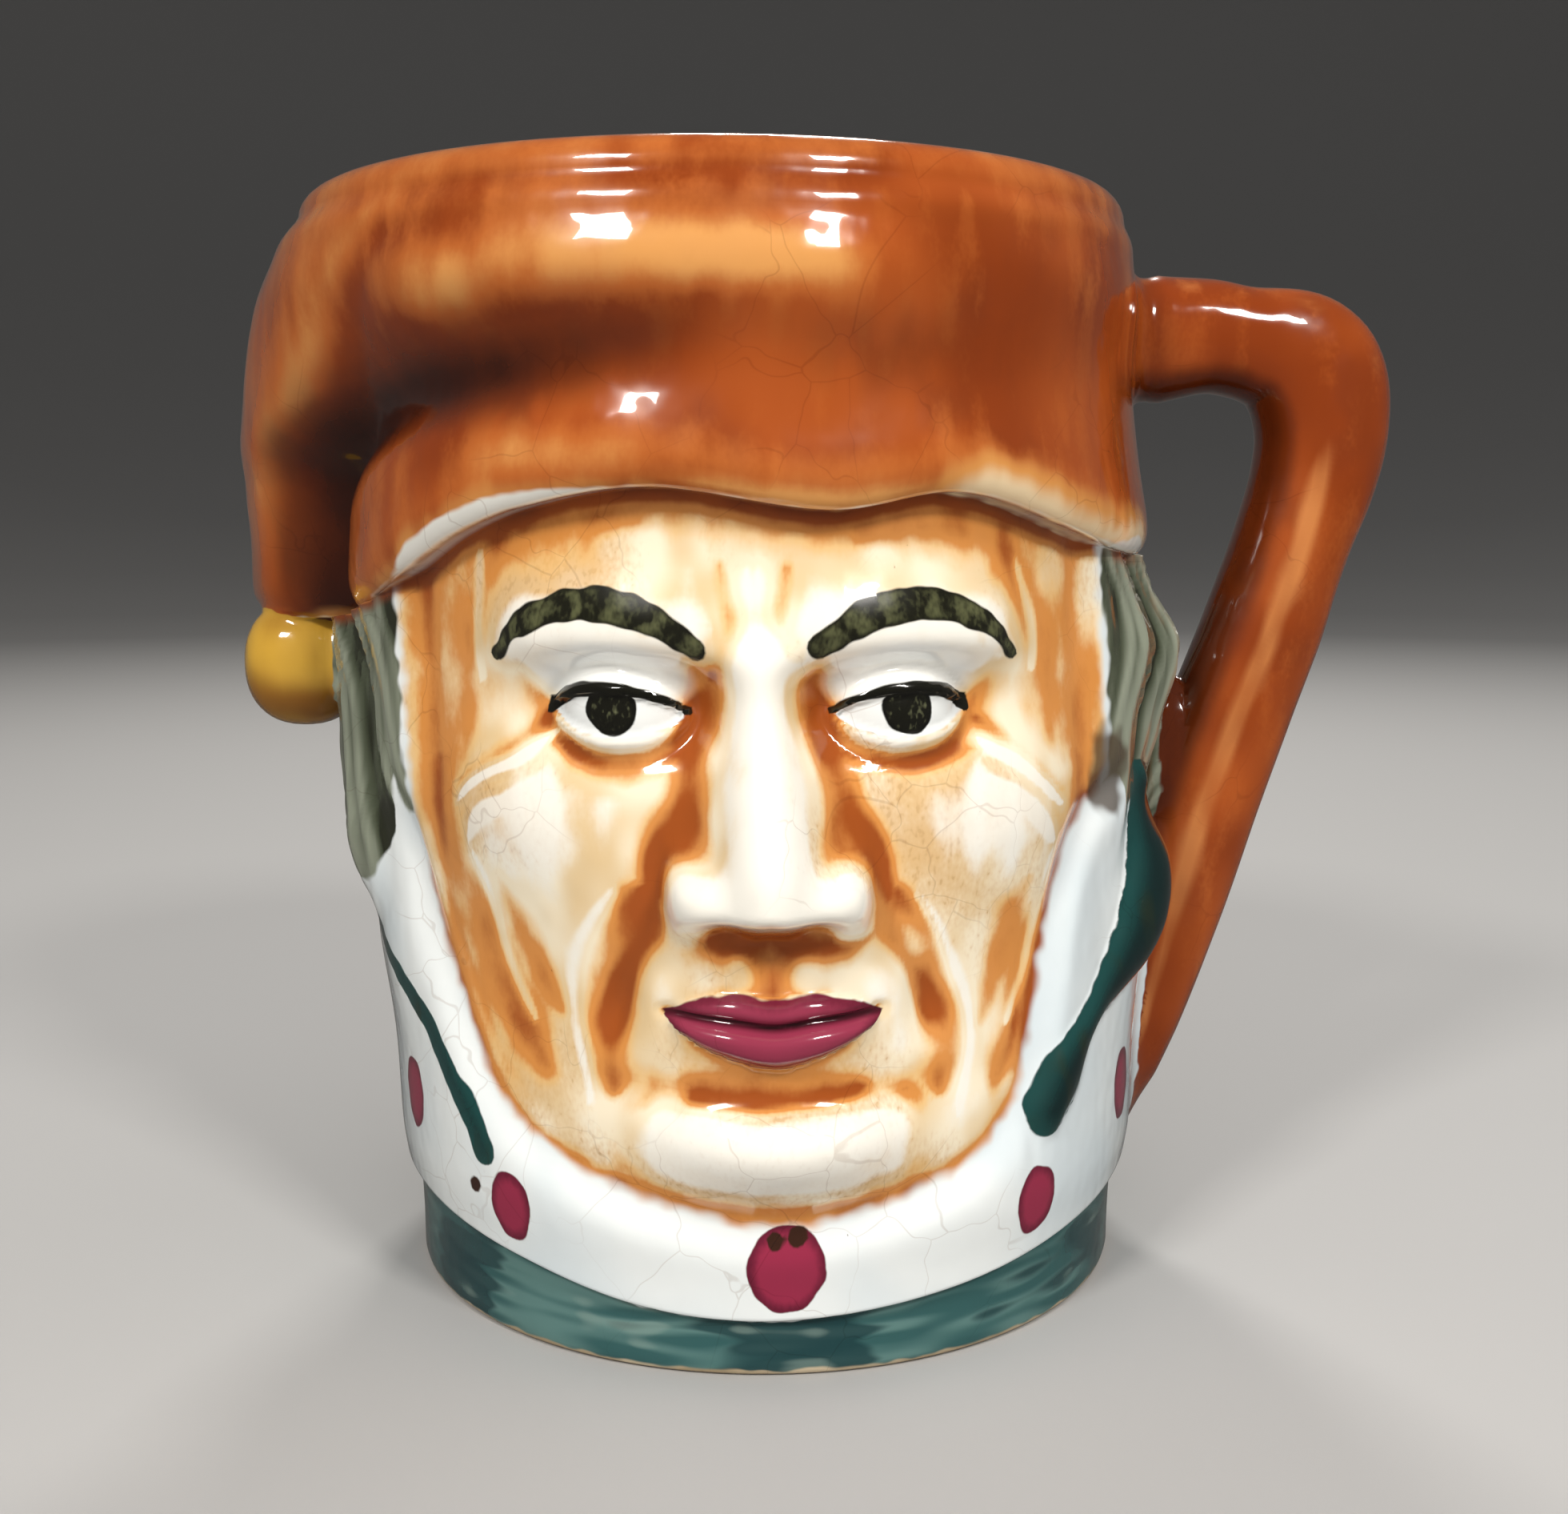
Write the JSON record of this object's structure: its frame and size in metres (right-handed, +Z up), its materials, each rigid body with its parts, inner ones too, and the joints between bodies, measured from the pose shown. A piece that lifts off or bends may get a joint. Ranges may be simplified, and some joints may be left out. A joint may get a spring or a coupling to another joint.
{
  "type": "toby jug",
  "caption": "Small glazed earthenware mug cast as a capped head with a neckcloth, hollow and open at the top, with a side handle.",
  "frame": {"origin": "centre of the flat foot, on the surface that the jug stands on", "axes": "+Z up, the face looks along -Y, the handle is at +X and the cap's hanging tail at -X"},
  "size_m": [0.1128, 0.0835, 0.102],
  "materials": {
    "glazed_earthenware": "hand-painted under a glossy clear glaze"
  },
  "bodies": {
    "root": {"jug": "glazed_earthenware"}
  },
  "joints": []
}
